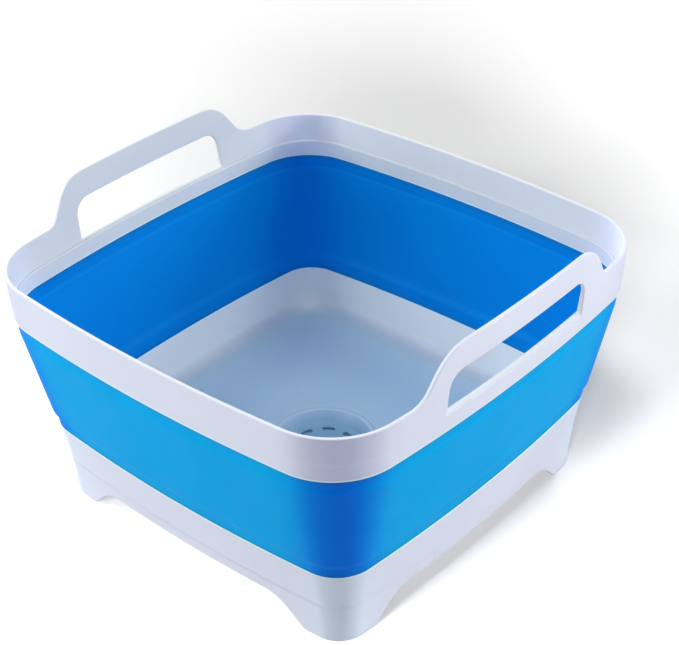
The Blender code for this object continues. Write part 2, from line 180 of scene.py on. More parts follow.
def outline(s, inset):
    """x and y at the lengths s along the plan outline, moved in by inset."""
    s = np.asarray(s, float)
    quarter = np.floor((s + SIDE_HALF) / QUARTER)
    local = s - quarter * QUARTER
    on_side = local <= SIDE_HALF
    angle = np.where(on_side, local / SIDE, SWING + (local - SIDE_HALF) / CORNER)
    radius = np.where(on_side, SIDE, CORNER) - inset
    x = np.where(on_side, FAR, NEAR) + radius * np.cos(angle)
    y = np.where(on_side, 0, NEAR) + radius * np.sin(angle)
    turn = quarter * math.pi / 2
    return x * np.cos(turn) - y * np.sin(turn), x * np.sin(turn) + y * np.cos(turn)


def ring(s, inset, z):
    """Points round the basin at one height."""
    x, y = outline(s, inset)
    return np.stack([x, y, np.full(len(s), z)], 1)


def circle(turn, radius, z):
    """Points round the axis at the angles of turn, at one height."""
    return np.stack([radius * np.cos(turn), radius * np.sin(turn), np.full(len(turn), z)], 1)


def stations(steps):
    """Lengths along the outline, closer together round the corners."""
    side_steps, corner_steps = steps
    side = np.linspace(-SIDE_HALF, SIDE_HALF, side_steps, endpoint=False)
    corner = np.linspace(SIDE_HALF, QUARTER - SIDE_HALF, corner_steps, endpoint=False)
    return np.concatenate([np.concatenate([side, corner]) + q * QUARTER for q in range(4)])


def ring_columns(steps, extra):
    """Stations and the extra lengths, in order from the seam, none closer than COLUMN_GAP."""
    s = np.append(stations(steps), extra)
    s = np.sort((s + QUARTER) % LOOP - QUARTER)
    return s[np.append(True, np.diff(s) > COLUMN_GAP)]


def arc(centre, radius, first, last, steps):
    """Points of an arc from one angle to another, in degrees."""
    t = np.radians(np.linspace(first, last, steps + 1))
    return [(centre[0] + radius * math.cos(a), centre[1] + radius * math.sin(a)) for a in t]


def rounded(points, steps=4):
    """A closed line with an arc at each point that gives a radius: (a, b) or (a, b, radius)."""
    line = []
    for index, point in enumerate(points):
        here = Vector(point[:2])
        if len(point) == 2:
            line.append(tuple(here))
            continue
        u = (Vector(points[index - 1][:2]) - here).normalized()
        v = (Vector(points[(index + 1) % len(points)][:2]) - here).normalized()
        half = u.angle(v) / 2
        run = point[2] / math.tan(half)
        centre = here + (u + v).normalized() * point[2] / math.sin(half)
        start, end = here + u * run - centre, here + v * run - centre
        turn = math.atan2(start.x * end.y - start.y * end.x, start.dot(end))
        for step in range(steps + 1):
            a = turn * step / steps
            x = start.x * math.cos(a) - start.y * math.sin(a)
            y = start.x * math.sin(a) + start.y * math.cos(a)
            line.append((centre.x + x, centre.y + y))
    return line


def denser(line, longest):
    """The same open line with no step longer than that."""
    out = [line[0]]
    for a, b in zip(line, line[1:]):
        parts = max(1, math.ceil(math.dist(a, b) / longest - TINY))
        for k in range(1, parts + 1):
            out.append((a[0] + (b[0] - a[0]) * k / parts, a[1] + (b[1] - a[1]) * k / parts))
    return out


def inward(line, closed):
    """Left-hand normals of a line, lengthened at its corners so that an offset stays parallel."""
    p = np.asarray(line, float)
    if closed:
        before, after = p - np.roll(p, 1, 0), np.roll(p, -1, 0) - p
    else:
        step = np.diff(p, axis=0)
        before, after = np.vstack([step[:1], step]), np.vstack([step, step[-1:]])
    before /= np.linalg.norm(before, axis=1)[:, None]
    after /= np.linalg.norm(after, axis=1)[:, None]
    a = np.stack([-before[:, 1], before[:, 0]], 1)
    b = np.stack([-after[:, 1], after[:, 0]], 1)
    return (a + b) / (1 + (a * b).sum(1))[:, None]


# Pieces and plates


class Shape:
    """Points and faces of one piece, collected row by row."""

    sharp_angle = 55  # degrees, from which an edge between two faces is drawn sharp
    weld, sliver = 2e-6, 1e-7  # points closer than weld become one, faces thinner than sliver go

    def __init__(self):
        self.points = []
        self.faces = []

    def row(self, points):
        """Add points, and return their indices."""
        start = len(self.points)
        self.points.extend(tuple(map(float, p)) for p in points)
        return list(range(start, len(self.points)))

    def join(self, a, b, closed):
        """Faces between two rows."""
        count = len(a)
        for i in range(count if closed else count - 1):
            j = (i + 1) % count
            self.faces.append((a[i], a[j], b[j], b[i]))

    def skin(self, rows, closed=True, loop=False):
        """Faces from row to row, and with loop from the last to the first."""
        for a, b in zip(rows, rows[1:]):
            self.join(a, b, closed)
        if loop:
            self.join(rows[-1], rows[0], closed)

    def cap(self, row):
        """One face over a closed row."""
        self.faces.append(tuple(row))

    def piece(self, name, body, material, nodes, marks):
        """The finished piece on its body, in place of its nodes, with the shares that marks give."""
        mesh = bpy.data.meshes.new(name)
        mesh.from_pydata(self.points, [], self.faces)
        work = bmesh.new()
        work.from_mesh(mesh)
        bmesh.ops.remove_doubles(work, verts=work.verts, dist=self.weld)
        bmesh.ops.dissolve_degenerate(work, dist=self.sliver, edges=work.edges)
        bmesh.ops.recalc_face_normals(work, faces=work.faces)
        work.to_mesh(mesh)
        work.free()
        mesh.shade_smooth()
        mesh.set_sharp_from_angle(angle=math.radians(self.sharp_angle))
        mesh.materials.append(material)
        count = len(mesh.vertices)
        places, normals = np.empty(3 * count), np.empty(3 * count)
        mesh.vertices.foreach_get("co", places)
        mesh.vertices.foreach_get("normal", normals)
        for mark, share in marks.items():
            values = share(places.reshape(-1, 3), normals.reshape(-1, 3))
            mesh.attributes.new(mark, "FLOAT", "POINT").data.foreach_set("value", values)
        made = bpy.data.objects.new(name, mesh)
        bpy.context.scene.collection.objects.link(made)
        made.modifiers.new("normals", "WEIGHTED_NORMAL").keep_sharp = True
        if body:
            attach(made, body)
        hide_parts(*nodes)
        return made


def inside(points, polygons):
    """Even-odd test of the points against closed polygons."""
    found = np.zeros(len(points), bool)
    for polygon in polygons:
        for (x0, y0), (x1, y1) in zip(polygon, np.roll(polygon, -1, 0)):
            if y0 == y1:
                continue
            cross = (points[:, 1] < y0) != (points[:, 1] < y1)
            at = x0 + (points[:, 1] - y0) / (y1 - y0) * (x1 - x0)
            found ^= cross & (points[:, 0] < at)
    return found


def far_from(points, polygons, least):
    """Which points are farther than that from every side of the polygons."""
    keep = np.ones(len(points), bool)
    for polygon in polygons:
        for start, step in zip(polygon, np.roll(polygon, -1, 0) - polygon):
            t = np.clip(((points - start) @ step) / max(step @ step, TINY**3), 0, 1)
            keep &= np.linalg.norm(points - start - t[:, None] * step, axis=1) > least
    return keep


def net(polygons, seeds=()):
    """Triangles between the closed polygons, as indices of their points and then of the seeds."""
    links = []
    start = 0
    for polygon in polygons:
        count = len(polygon)
        links += [(start + i, start + (i + 1) % count) for i in range(count)]
        start += count
    every = [Vector(p) for p in np.concatenate([*polygons, np.reshape(seeds, (-1, 2))])]
    made = delaunay_2d_cdt(every, links, [], 0, TINY / 1000)
    points = np.array([tuple(p) for p in made[0]])
    triangles = np.array([f for f in made[2] if len(f) == 3])
    origin = [o[0] for o in made[3]]
    keep = inside(points[triangles].mean(1), polygons)
    return [tuple(origin[i] for i in triangle) for triangle in triangles[keep]]


def plate(shape, edges, seeds, place, spacing, seam=()):
    """A plate with shaped and rounded edges.

    Each edge is (line, closed, rows): the line has the plate on its left, and rows are
    (offset into the plate, depth from its face) from the face round the edge to the back.
    Open lines make up the outer boundary, end to end; seam gives the heights of the points
    between their ends, where the plate meets itself. The face and the back share one net,
    drawn through the seeds, and place(points, depth) puts both into space.
    """
    outer, holes, face_ids, back_ids = [], [], [], []
    depth_face, depth_back = edges[0][2][0][1], edges[0][2][-1][1]
    for line, closed, rows in edges:
        line = np.asarray(line, float)
        normal = inward(line, closed)
        made = [shape.row(place(line + normal * off, depth)) for off, depth in rows]
        shape.skin(made, closed)
        face_ids += made[0]
        back_ids += made[-1]
        first = line + normal * rows[0][0]
        if closed:
            holes.append(first)
            continue
        heights = seam[::-1] if outer else seam
        side = np.array([(line[-1][0], z) for z in heights])
        outer += [first, side]
        face_ids += shape.row(place(side, depth_face))
        back_ids += shape.row(place(side, depth_back))
    polygons = ([np.concatenate(outer)] if outer else []) + holes
    seeds = np.asarray(seeds, float)
    seeds = seeds[inside(seeds, polygons)]
    seeds = seeds[far_from(seeds, polygons, spacing)]
    face_ids += shape.row(place(seeds, depth_face))
    back_ids += shape.row(place(seeds, depth_back))
    for a, b, c in net(polygons, seeds):
        shape.faces.append((face_ids[a], face_ids[b], face_ids[c]))
        shape.faces.append((back_ids[a], back_ids[c], back_ids[b]))


def edge_rows(radius, thickness, steps=3):
    """Rows of a plate's rounded edge."""
    rows = []
    for a in np.linspace(0, math.pi / 2, steps + 1):
        rows.append((radius * (1 - math.sin(a)), radius * (1 - math.cos(a))))
    return rows + [(off, thickness - depth) for off, depth in rows[::-1]]


def flat_rows(thickness):
    """Rows of a plate's square edge."""
    return [(0, 0), (0, thickness)]


def seam_lines(low, high, columns):
    """Bottom and top lines of a plate that goes round the basin, as open lines from seam to seam."""
    s = np.unique(np.round(np.append(columns, [-QUARTER, LOOP - QUARTER]), 9))  # to the nanometre
    return [(a, low(a)) for a in s], [(a, high(a)) for a in s[::-1]]


# Materials

# What all plastics share: scales of the noises for flow marks, gloss and waves, where the flow marks
# are darkest and lightest, where the gloss changes, how far the roughness goes below and above its value
FLOW_SCALE, GLOSS_SCALE, WAVE_SCALE = 14, 45, 22
FLOW_DARK, FLOW_LIGHT = 0.3, 0.7
GLOSS_FROM, GLOSS_TO, SMOOTHER, ROUGHER = 0.35, 0.65, 0.05, 0.06


def shader(name, colour, roughness):
    """A new material, its node tree and its principled shader."""
    material = bpy.data.materials.new(name)
    material.use_nodes = True
    tree = material.node_tree
    principled = tree.nodes["Principled BSDF"]
    principled.inputs["Base Color"].default_value = (*colour, 1)
    principled.inputs["Roughness"].default_value = roughness
    return material, tree, principled


def node(tree, kind, **values):
    """A new node with its inputs or its settings set by name."""
    made = tree.nodes.new(kind)
    for key, value in values.items():
        label = key.replace("_", " ")
        if label in made.inputs:
            made.inputs[label].default_value = value
        else:
            setattr(made, key, value)
    return made


def noise(tree, coords, scale, detail, roughness=0.5):
    """Noise in the object's own coordinates."""
    made = node(tree, "ShaderNodeTexNoise", Scale=scale, Detail=detail, Roughness=roughness)
    tree.links.new(coords.outputs["Object"], made.inputs["Vector"])
    return made.outputs["Fac"]


def flow_tone(tree, flow, colour, tint):
    """A colour that is a little darker and lighter along the flow marks."""
    made = tree.nodes.new("ShaderNodeValToRGB")
    dark, light = made.color_ramp.elements
    dark.position, light.position = FLOW_DARK, FLOW_LIGHT
    dark.color = (*(c * (1 - tint) for c in colour), 1)
    light.color = (*(min(1, c * (1 + tint)) for c in colour), 1)
    tree.links.new(flow, made.inputs["Fac"])
    return made.outputs["Color"]


def moulded(name, colour, marks, roughness, gloss, grain, wave_height, grain_height, tint):
    """Moulded plastic: fine grain, a slow wave in the surface, faint flow marks, uneven gloss.

    marks gives the colours in the places that the mesh marks: painted shade, painted light and painted
    highlight lines.
    """
    material, tree, principled = shader(name, colour, roughness)
    principled.inputs["Specular IOR Level"].default_value = gloss
    coords = tree.nodes.new("ShaderNodeTexCoord")
    flow = noise(tree, coords, FLOW_SCALE, detail=4, roughness=0.6)
    mixed = flow_tone(tree, flow, colour, tint)
    for mark, tone in marks.items():
        marked = node(tree, "ShaderNodeAttribute", attribute_name=mark)
        mix = node(tree, "ShaderNodeMix", data_type="RGBA")
        mix_a, mix_b = (socket for socket in mix.inputs if socket.enabled and socket.type == "RGBA")
        tree.links.new(marked.outputs["Fac"], mix.inputs["Factor"])
        tree.links.new(mixed, mix_a)
        tree.links.new(flow_tone(tree, flow, tone, tint), mix_b)
        mixed = next(out for out in mix.outputs if out.enabled)
    tree.links.new(mixed, principled.inputs["Base Color"])
    uneven = node(tree, "ShaderNodeMapRange", From_Min=GLOSS_FROM, From_Max=GLOSS_TO)
    uneven.inputs["To Min"].default_value = roughness - SMOOTHER
    uneven.inputs["To Max"].default_value = roughness + ROUGHER
    tree.links.new(noise(tree, coords, GLOSS_SCALE, detail=3), uneven.inputs["Value"])
    tree.links.new(uneven.outputs["Result"], principled.inputs["Roughness"])
    wave = node(tree, "ShaderNodeBump", Strength=1, Distance=wave_height)
    tree.links.new(noise(tree, coords, WAVE_SCALE, detail=1), wave.inputs["Height"])
    fine = node(tree, "ShaderNodeBump", Strength=1, Distance=grain_height)
    tree.links.new(noise(tree, coords, grain, detail=2), fine.inputs["Height"])
    tree.links.new(wave.outputs["Normal"], fine.inputs["Normal"])
    tree.links.new(fine.outputs["Normal"], principled.inputs["Normal"])
    return material


WHITE = (0.765, 0.798, 0.935)
# Painted highlight: the cyan-white tone of the lighter lines along the bonds
BOND_HIGHLIGHT = (0.74, 0.95, 1.0)
WHITE_FINISH = {
    "roughness": 0.38,
    "gloss": 0.3,
    "grain": 1600,
    "wave_height": 0.0003,
    "grain_height": 0.00002,
    "tint": 0.02,
}
RIM_WHITE = moulded(
    "white_plastic",
    WHITE,
    {
        # painted shade inside the rim
        "inner": (0.72, 0.765, 0.785),
        # painted shade on the ledge and sills
        "painted_shade": (0.58, 0.63, 0.70),
        # painted shade round the outside of the corners
        "corner": (0.61, 0.645, 0.87),
        # painted highlight line along the bond
        "edge": BOND_HIGHLIGHT,
    },
    **WHITE_FINISH,
)
TRAY_WHITE = moulded(
    "white_plastic_tray",
    WHITE,
    {
        # painted light inside the tray
        "inner": (0.85, 0.885, 0.88),
        # painted shade and blue bounce on the floor
        "painted_shade": (0.48, 0.675, 0.80),
        # painted shade on the bend
        "bend_shade": (0.48, 0.56, 0.65),
        # painted shade round the outside of the corners
        "corner": (0.76, 0.85, 1.0),
        # painted highlight line along the bond
        "edge": BOND_HIGHLIGHT,
    },
    **WHITE_FINISH,
)
DRAIN_WHITE = moulded(
    "white_plastic_drain",
    (0.64, 0.78, 0.90),
    # painted shade and blue bounce in the drain's recess
    {"painted_shade": (0.26, 0.455, 0.60)},
    **WHITE_FINISH,
)
BLUE = moulded(
    "blue_soft_plastic",
    (0.0012, 0.41, 0.87),
    {
        # painted shade: darker, deeper blue on the inside faces
        "inner": (0.0003, 0.231, 0.70),
        # painted shade: darker, deeper blue in the corners
        "painted_shade": (0.0003, 0.185, 0.87),
        # painted shade: the dark lines along the bonds
        "edge": (0.02, 0.12, 0.15),
    },
    roughness=0.5,
    gloss=0.03,
    grain=1100,
    wave_height=0.0006,
    grain_height=0.00003,
    tint=0.03,
)
GREY = moulded(
    "seal_rubber",
    (0.30, 0.34, 0.40),
    {},
    roughness=0.55,
    gloss=0.4,
    grain=1400,
    wave_height=0.0002,
    grain_height=0.00002,
    tint=0.05,
)


# Shares from 0 to 1 that mark places on the pieces, where the materials paint shade, light and highlight
# lines


def rise(values, low, high):
    """Smooth step from 0 at low to 1 at high."""
    t = np.clip((values - low) / (high - low), 0, 1)
    return t * t * (3 - 2 * t)


def away(places, normals):
    """How far faces look away from the basin's axis, from -1 to 1."""
    reach = np.maximum(np.linalg.norm(places[:, :2], axis=1), TINY)
    return (places[:, :2] * normals[:, :2]).sum(1) / reach


def square_inset(places):
    """Inset from the plan's half side, with the corners of a rounded square."""
    power = 8
    return HALF - (np.abs(places[:, :2]) ** power).sum(1) ** (1 / power)


def corner_share(places):
    """1 in the basin's corners, 0 along its sides."""
    a = np.abs(places[:, :2])
    return rise(a.min(1) / np.maximum(a.max(1), TINY), 0.62, 0.96)


def inner_share(places, normals):
    """1 on faces that look at the basin's middle, 0 on those that look away."""
    return rise(-away(places, normals), -0.2, 0.2)


def corner_shade_outside(places, normals):
    """Painted shade round the outside of the white pieces' corners: darker and bluer on the rim, bluer on
    the tray.
    """
    return corner_share(places) * rise(away(places, normals), 0.4, 0.8)


def wall_corner_shade(places, normals):
    """Painted shade: a darker, deeper blue in the soft wall's corners, more so outside."""
    return corner_share(places) * (1 - 0.6 * inner_share(places, normals))


def wall_bond_shade(places, normals):
    """Painted shade: darker lines on the soft wall along its bonds, under the rim and above the tray."""
    z = places[:, 2]
    top = rise(z, RIM_BOTTOM - 0.0030, RIM_BOTTOM - 0.0010)
    foot = 1 - rise(z, BASE_TOP + 0.0012, BASE_TOP + 0.0032)
    return 0.32 * np.maximum(top, foot)


def rim_inside_shade(places, normals):
    """Painted shade: a darker, less blue tone inside the rim along its sides."""
    return inner_share(places, normals) * (1 - corner_share(places))


def rim_ledge_shade(places, normals):
    """Painted shade on the upward faces of the narrow ledge inside the rim and, fainter, of the sills of the
    handles.
    """
    z = places[:, 2]
    ledge = np.abs(z - LEDGE) < 0.0002
    sill = (z > SLOT_SILL - 0.0004) & (z < SLOT_SILL + 0.0003)
    return rise(normals[:, 2], 0.3, 0.8) * (ledge + 0.45 * sill)


def rim_bond_highlight(places, normals):
    """Painted highlight: a lighter line along the rim's bond with the soft wall."""
    return (places[:, 2] < RIM_BOTTOM + HIGHLIGHT_LINE_HEIGHT).astype(float)


def tray_bond_highlight(places, normals):
    """Painted highlight: a lighter line along the tray's bond with the soft wall."""
    return (places[:, 2] > BASE_TOP - HIGHLIGHT_LINE_HEIGHT).astype(float)


def tray_inside_light(places, normals):
    """Painted light: a lighter, less blue tone inside the tray above its floor, against the blue light the
    soft wall throws on it.
    """
    return inner_share(places, normals) * (places[:, 2] > FLOOR - 0.0005)


def tray_floor_shade(places, normals):
    """Painted shade and painted blue bounce: the tray's floor is darker and bluer than its sides, with a
    soft change at their foot.
    """
    up = rise(normals[:, 2], 0.2, 0.6)
    return rise(square_inset(places), 0.0285, 0.040) * up * (places[:, 2] < FLOOR + BEND_RADIUS)


def tray_bend_shade(places, normals):
    """Painted shade: a darker, greyer band along the bend from the tray's sides to its floor."""
    z = places[:, 2]
    band = rise(normals[:, 2], 0.3, 0.8) * (1 - rise(square_inset(places), 0.034, 0.046))
    low = (z > FLOOR - 0.0005) & (z < FLOOR + BEND_RADIUS)
    return band * low * (0.8 - 0.6 * corner_share(places))


def strainer_shade(places, normals):
    """Painted shade and painted blue bounce: the strainer is darker and bluer than the floor, apart from its
    flange.
    """
    radius = np.linalg.norm(places[:, :2], axis=1)
    return 1 - 0.7 * rise(radius, FLANGE_RADIUS - 0.0002, FLANGE_RADIUS + 0.0004)


def plug_top_shade(places, normals):
    """Painted shade: the top of the plug, below the strainer's slots, is as dark and blue as the strainer.
    """
    return rise(places[:, 2], 0.0150, 0.0160)


# Rim with its two handles


def handle_line(end):
    """Upper edge of a handle's half: distance and height, from the middle of the bar to the rim."""
    corners = [
        (0, HANDLE_TOP),
        (end.top_half, HANDLE_TOP, end.shoulder),
        (end.foot_half, RIM_TOP, end.foot),
        (HANDLE_SPAN, RIM_TOP),
    ]
    return rounded(corners, steps=12)


def rim_height(s):
    """Upper edge of the rim and its handles at a length along the outline."""
    for handle in HANDLES:
        local = (s - handle.centre + LOOP / 2) % LOOP - LOOP / 2
        if abs(local) < HANDLE_SPAN:
            line = handle_line(handle.ends[1] if local > 0 else handle.ends[0])
            return float(np.interp(abs(local), [p[0] for p in line], [p[1] for p in line]))
    return RIM_TOP


def rim_place(points, depth):
    """Points of the rim's plate, (s, z), at a depth from its outer face, in space."""
    z = points[:, 1]
    x, y = outline(points[:, 0], rim_inset(z) + depth * rim_wall(z) / RIM_WALL)
    return np.stack([x, y, z], 1)


def slot_line(handle):
    """Opening under a handle's bar."""
    first, last = handle.slot_middle - handle.slot_half, handle.slot_middle + handle.slot_half
    corners = [
        (first, SLOT_SILL, SILL_RADIUS),
        (first + SLOT_LEAN, SLOT_HEAD, HEAD_RADIUS),
        (last - SLOT_LEAN, SLOT_HEAD, HEAD_RADIUS),
        (last, SLOT_SILL, SILL_RADIUS),
    ]
    line = rounded(corners, steps=10)
    line = denser(line + line[:1], longest=0.004)[:-1]
    return [(handle.centre + a, b) for a, b in line]


def rim_plate(shape, low, edge):
    """The rim above low: a plate that goes round the basin, with the handles and their slots."""
    extra = []
    for handle in HANDLES:
        for side, end in zip((-1, 1), handle.ends):
            extra += [handle.centre + side * p[0] for p in handle_line(end)[1:-1]]
    columns = ring_columns(RIM_STEPS, extra)
    bottom, top = seam_lines(lambda s: low, rim_height, columns)
    rows = edge_rows(edge, RIM_WALL)
    edges = [(bottom, False, flat_rows(RIM_WALL)), (top, False, rows)]
    edges += [(slot_line(handle), True, rows) for handle in HANDLES]
    seam = (0.1555, 0.160, 0.1645, 0.168)
    levels = (*seam, RIM_TOP, 0.176, 0.180, 0.185, 0.190, 0.195)
    seeds = [(s, z) for s in columns for z in levels]
    plate(shape, edges, seeds, rim_place, spacing=0.0012, seam=seam)


def rim_band(shape, head):
    """The thicker band below the rim's ledge, which reaches up to head outside."""
    line = [RIM_BOTTOM + HIGHLIGHT_LINE_HEIGHT + step for step in (LINE_HALF, -LINE_HALF)]
    corners = [(rim_inset(z) + SKIN_GAP, z) for z in (head, *line)]
    corners += [
        (rim_inset(RIM_BOTTOM) + SKIN_GAP, RIM_BOTTOM, 0.0005),
        (BAND_INSET, RIM_BOTTOM, 0.0005),
        (BAND_INSET, line[1]),
        (BAND_INSET, line[0]),
        (BAND_INSET + 0.0003, LEDGE, 0.0008),
    ]
    s = stations(RIM_STEPS)
    shape.skin([shape.row(ring(s, inset, z)) for inset, z in rounded(corners)], loop=True)


def rim():
    """The rim with its handles: one moulding."""
    shape = Shape()
    edge, overlap = 0.0006, 0.001
    low = LEDGE - overlap
    rim_plate(shape, low, edge)
    rim_band(shape, low + edge)
    # These marks paint shade, save the one along the bond, which paints a highlight line.
    marks = {"inner": rim_inside_shade, "painted_shade": rim_ledge_shade, "corner": corner_shade_outside, "edge": rim_bond_highlight}
    return shape.piece("rim", "rim", RIM_WHITE, ["rim_frame"], marks)


# Soft wall


def soft_wall():
    """The soft wall: collar, small bead at the hinge, panel, shoulder and collar, from the rim down.

    The corners of its outer and inner face are (inset, height, radius).
    """
    shape = Shape()
    gap, lip, edge = 0.00005, 0.0003, 0.0002
    top, foot = RIM_BOTTOM - gap, BASE_TOP + gap
    outer = [
        (0.0033, top, lip),
        (0.0046, 0.1338, 0.0015),
        (0.0042, 0.1319, 0.0012),
        (0.0175, 0.0690, 0.008),
        (0.0200, 0.0645, 0.006),
        (TRAY_INSET + edge, foot, edge),
    ]
    inner = [
        (TRAY_INSET + TRAY_WALL, foot, edge),
        (0.0226, 0.0665, 0.006),
        (0.0196, 0.0700, 0.008),
        (0.0075, 0.1308, 0.002),
        (0.0066, 0.1332, 0.002),
        (0.0066, top, lip),
    ]
    profile = rounded(outer + inner, steps=5)
    profile = denser(profile + profile[:1], longest=0.0018)[:-1]
    s = stations(WALL_STEPS)
    shape.skin([shape.row(ring(s, inset, z)) for inset, z in profile], loop=True)
    # All three marks paint shade: inside, in the corners and along the bonds.
    marks = {"inner": inner_share, "painted_shade": wall_corner_shade, "edge": wall_bond_shade}
    wall = shape.piece("wall", None, BLUE, ["soft_wall"], marks)
    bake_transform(wall)
    return wall


# Base tray


def foot_line():
    """Lower edge of the skirt from the middle of a side to the foot's sole."""
    arch_half, arch_radius, sole_half, sole_radius, span = 0.0755, 0.028, 0.0960, 0.008, 0.11
    corners = [
        (0, SKIRT_EDGE),
        (arch_half, SKIRT_EDGE, arch_radius),
        (sole_half, 0, sole_radius),
        (span, 0),
    ]
    return rounded(corners, steps=12)


def skirt_height(s):
    """Lower edge of the skirt at a length along the outline."""
    local = abs((s + QUARTER / 2) % QUARTER - QUARTER / 2)
    line = foot_line()
    return float(np.interp(local, [p[0] for p in line], [p[1] for p in line]))


def skirt_place(points, depth):
    """Points of the skirt's plate, (s, z), at a depth from its outer face, in space."""
    z = points[:, 1]
    x, y = outline(points[:, 0], skirt_inset(z) + depth)
    return np.stack([x, y, z], 1)


def drain_line(floor_circle):
    """The tray's drain: from the floor through the strainer's seat and the bore to the underside."""
    edge, collar_edge = 0.0003, 0.0005
    return [
        (floor_circle, FLOOR),
        (SEAT_RADIUS + 0.0030, FLOOR),
        (SEAT_RADIUS + 0.0002, FLOOR),
        (SEAT_RADIUS, FLOOR - 0.0002),
        (SEAT_RADIUS, SEAT_LEVEL),
        (SEAT_RADIUS - 0.0010, SEAT_LEVEL),
        (CUP_RADIUS, CUP_LEVEL),
        (BORE_RADIUS, CUP_LEVEL),
        (BORE_RADIUS, BORE_BOTTOM + edge),
        (BORE_RADIUS + edge, BORE_BOTTOM),
        (COLLAR_RADIUS - collar_edge, BORE_BOTTOM),
        (COLLAR_RADIUS, BORE_BOTTOM + collar_edge),
        (COLLAR_RADIUS, 0.0177),
        (0.0360, 0.0225),
        (0.0390, UNDERSIDE),
        (floor_circle, UNDERSIDE),
    ]


def tray_skirt(shape, head):
    """The tray's skirt up to head, with its feet and the arches between them."""
    bends = [p[0] for p in foot_line()[1:-1]]
    extra = [q * QUARTER + side * bend for q in range(4) for side in (-1, 1) for bend in bends]
    columns = ring_columns(WALL_STEPS, extra)
    bottom, top = seam_lines(skirt_height, lambda s: head, columns)
    edges = [(bottom, False, edge_rows(0.0007, TRAY_WALL)), (top, False, flat_rows(TRAY_WALL))]
    seam = (0.0283, 0.029, 0.034, 0.040, 0.046, 0.050)
    levels = (0.0024, 0.005, 0.010, 0.015, *seam)
    seeds = [(s, z) for s in columns for z in levels]
    plate(shape, edges, seeds, skirt_place, spacing=0.0006, seam=seam)


def pan_line(low):
    """From low on the skirt's outside over the tray's lip, down and round the bend to its floor."""
    inner_top, bend_inset, edge = TRAY_INSET + TRAY_WALL, 0.0408, 0.0003
    bend = arc((bend_inset, FLOOR + BEND_RADIUS), BEND_RADIUS, 190, 270, 10)
    line = [BASE_TOP - HIGHLIGHT_LINE_HEIGHT + step for step in (-LINE_HALF, LINE_HALF)]
    pan = [(skirt_inset(z) + SKIN_GAP, z) for z in (low, *line)]
    lip = [pan[-1], (TRAY_INSET + SKIN_GAP, BASE_TOP, edge), (inner_top, BASE_TOP, edge), bend[0]]
    pan += rounded(lip)[1:-1]
    pan += [(inner_top + (BASE_TOP - z) * TRAY_INNER_SLOPE, z) for z in line[::-1]]
    pan += denser([pan[-1], bend[0]], longest=0.004)[1:]
    return pan + bend[1:]


def tray():
    """The base tray: its skirt, and the pan inside it with the drain."""
    shape = Shape()
    head, overlap = BASE_TOP - 0.0035, 0.0006
    tray_skirt(shape, head)
    pan = pan_line(head - overlap)
    s = stations(WALL_STEPS)
    rows = [shape.row(ring(s, inset, z)) for inset, z in pan]
    floor_circle, floor_steps = 0.060, 8
    turn = np.arctan2(*outline(s, 0)[::-1])
    foot = ring(s, *pan[-1])
    middle = circle(turn, floor_circle, pan[-1][1])
    for k in range(1, floor_steps):
        rows.append(shape.row(foot + (middle - foot) * k / floor_steps))
    rows += [shape.row(circle(turn, radius, z)) for radius, z in drain_line(floor_circle)]
    rows += [shape.row(ring(s, inset, UNDERSIDE)) for inset in (0.0305, 0.0280)]
    shape.skin(rows, loop=True)
    # These marks paint light and shade: lighter inside, shade on the floor, bend and corners, and a
    # highlight line along the bond.
    marks = {
        "inner": tray_inside_light,
        "painted_shade": tray_floor_shade,
        "bend_shade": tray_bend_shade,
        "corner": corner_shade_outside,
        "edge": tray_bond_highlight,
    }
    return shape.piece("tray", "base", TRAY_WHITE, ["base_tray"], marks)


# Drain


def disc_place(points, depth):
    """Points of the strainer's disc at a depth from its upper face, in space."""
    return np.stack([points[:, 0], points[:, 1], np.full(len(points), DISC_TOP - depth)], 1)


def bent_slot(angle):
    """Outline of a strainer slot, clockwise, bent round the axis."""
    radius, half_width, half_length = 0.020, 0.00195, 0.0044
    side_steps, end_steps = 6, 8
    half = (half_length - half_width) / radius
    line = []
    for side, first in ((1, angle - half), (-1, angle + half)):
        end = first + side * 2 * half
        r = radius + side * half_width
        line += [(r * math.cos(t), r * math.sin(t)) for t in np.linspace(first, end, side_steps + 1)]
        x, y = radius * math.cos(end), radius * math.sin(end)
        start = end if side > 0 else end + math.pi
        for t in np.linspace(start, start + math.pi, end_steps + 1)[1:-1]:
            line.append((x + half_width * math.cos(t), y + half_width * math.sin(t)))
    return line[::-1]


